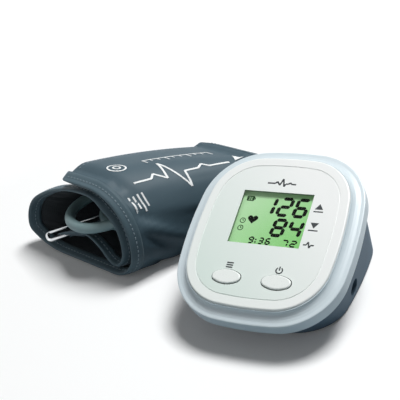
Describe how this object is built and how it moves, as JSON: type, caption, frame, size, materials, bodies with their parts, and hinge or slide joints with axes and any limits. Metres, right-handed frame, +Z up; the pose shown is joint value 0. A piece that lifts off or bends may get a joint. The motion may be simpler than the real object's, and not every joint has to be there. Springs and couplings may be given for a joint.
{
  "type": "blood pressure monitor",
  "caption": "Table-top blood pressure monitor with a leaning display face, two push buttons and a rolled upper-arm cuff with its air hose",
  "frame": {"origin": "on the table under the middle of the monitor's base", "axes": "+X to the user's right, +Y to the back of the monitor, +Z up"},
  "size_m": [0.2831, 0.1765, 0.0738],
  "materials": {
    "ring_grey": "satin moulded",
    "panel_white": "semi-gloss moulded",
    "base_slate": "fine spark texture",
    "window_clear": "polished",
    "display_green": "reflective liquid crystal",
    "button_white": "semi-gloss moulded",
    "inner_black": "moulded",
    "board_green": "solder mask",
    "strip_rubber": "layered",
    "foot_rubber": "matt",
    "steel": "plated",
    "ring_metal": "polished wire",
    "cell_jacket": "printed sleeve",
    "brass": "turned",
    "cuff_nylon": "woven",
    "cuff_lining": "brushed",
    "cuff_tape": "woven tape",
    "hook_tape": "hooked",
    "bladder_rubber": "smooth",
    "hose_rubber": "smooth",
    "tube_clear": "silicone"
  },
  "bodies": {
    "housing": {"upper_case": "ring_grey", "face_panel": "panel_white", "display_window": "window_clear", "lcd_glass": "display_green", "lcd_frame": "inner_black", "lcd_strips": "strip_rubber", "main_board": "board_green", "board_chips": "inner_black", "buzzer": "inner_black", "pressure_sensor": "inner_black", "board_screws": "steel", "switch_bodies": "inner_black", "lower_case": "base_slate", "case_screws": "steel", "rubber_feet": "foot_rubber", "battery_cells": "cell_jacket", "battery_contacts": "steel", "pump_head": "inner_black", "pump_motor": "steel", "pump_saddles": "inner_black", "exhaust_valve": "inner_black", "air_manifold": "inner_black", "air_socket": "inner_black", "power_jack": "inner_black", "jack_pin": "brass", "air_tubes": "tube_clear"},
    "memory_key": {"memory_button": "button_white", "memory_plunger": "inner_black"},
    "start_key": {"start_button": "button_white", "start_plunger": "inner_black"},
    "door": {"battery_door": "base_slate"},
    "crank": {"pump_shaft": "steel"},
    "valve_core": {"valve_plunger": "brass"},
    "cuff": {"cuff_cloth": "cuff_nylon", "cuff_lining": "cuff_lining", "cuff_bladder": "bladder_rubber", "cuff_binding": "cuff_tape", "hook_patch": "hook_tape", "ring_strap": "cuff_nylon", "hose_port": "inner_black", "air_hose": "hose_rubber", "air_plug": "inner_black"},
    "ring": {"cuff_ring": "ring_metal"}
  },
  "joints": [
    {"name": "memory_press", "type": "slide", "parent": "housing", "child": "memory_key", "axis": [0, 0.3746, -0.9272], "range_m": [0, 0.0008], "stiffness_N_per_m": 1000, "springref_m": -0.0003},
    {"name": "start_press", "type": "slide", "parent": "housing", "child": "start_key", "axis": [0, 0.3746, -0.9272], "range_m": [0, 0.0008], "stiffness_N_per_m": 1000, "springref_m": -0.0003},
    {"name": "door_hinge", "type": "hinge", "parent": "housing", "child": "door", "pos_m": [0, 0.0332, 0.0025], "axis": [1, 0, 0], "range_deg": [0, 75]},
    {"name": "pump_spin", "type": "hinge", "parent": "housing", "child": "crank", "pos_m": [0.013, 0.02, 0.036], "axis": [1, 0, 0], "continuous": true},
    {"name": "valve_slide", "type": "slide", "parent": "housing", "child": "valve_core", "axis": [0, 1, 0], "range_m": [0, 0.001], "stiffness_N_per_m": 500, "springref_m": -0.0003},
    {"name": "cuff_lift", "type": "slide", "parent": "housing", "child": "cuff", "axis": [0, 0, 1], "range_m": [0, 0.3]},
    {"name": "ring_swing", "type": "hinge", "parent": "cuff", "child": "ring", "pos_m": [-0.19025, -0.00377, 0.01221], "axis": [0.7105, 0.7031, -0.0291], "range_deg": [0, 10]}
  ]
}
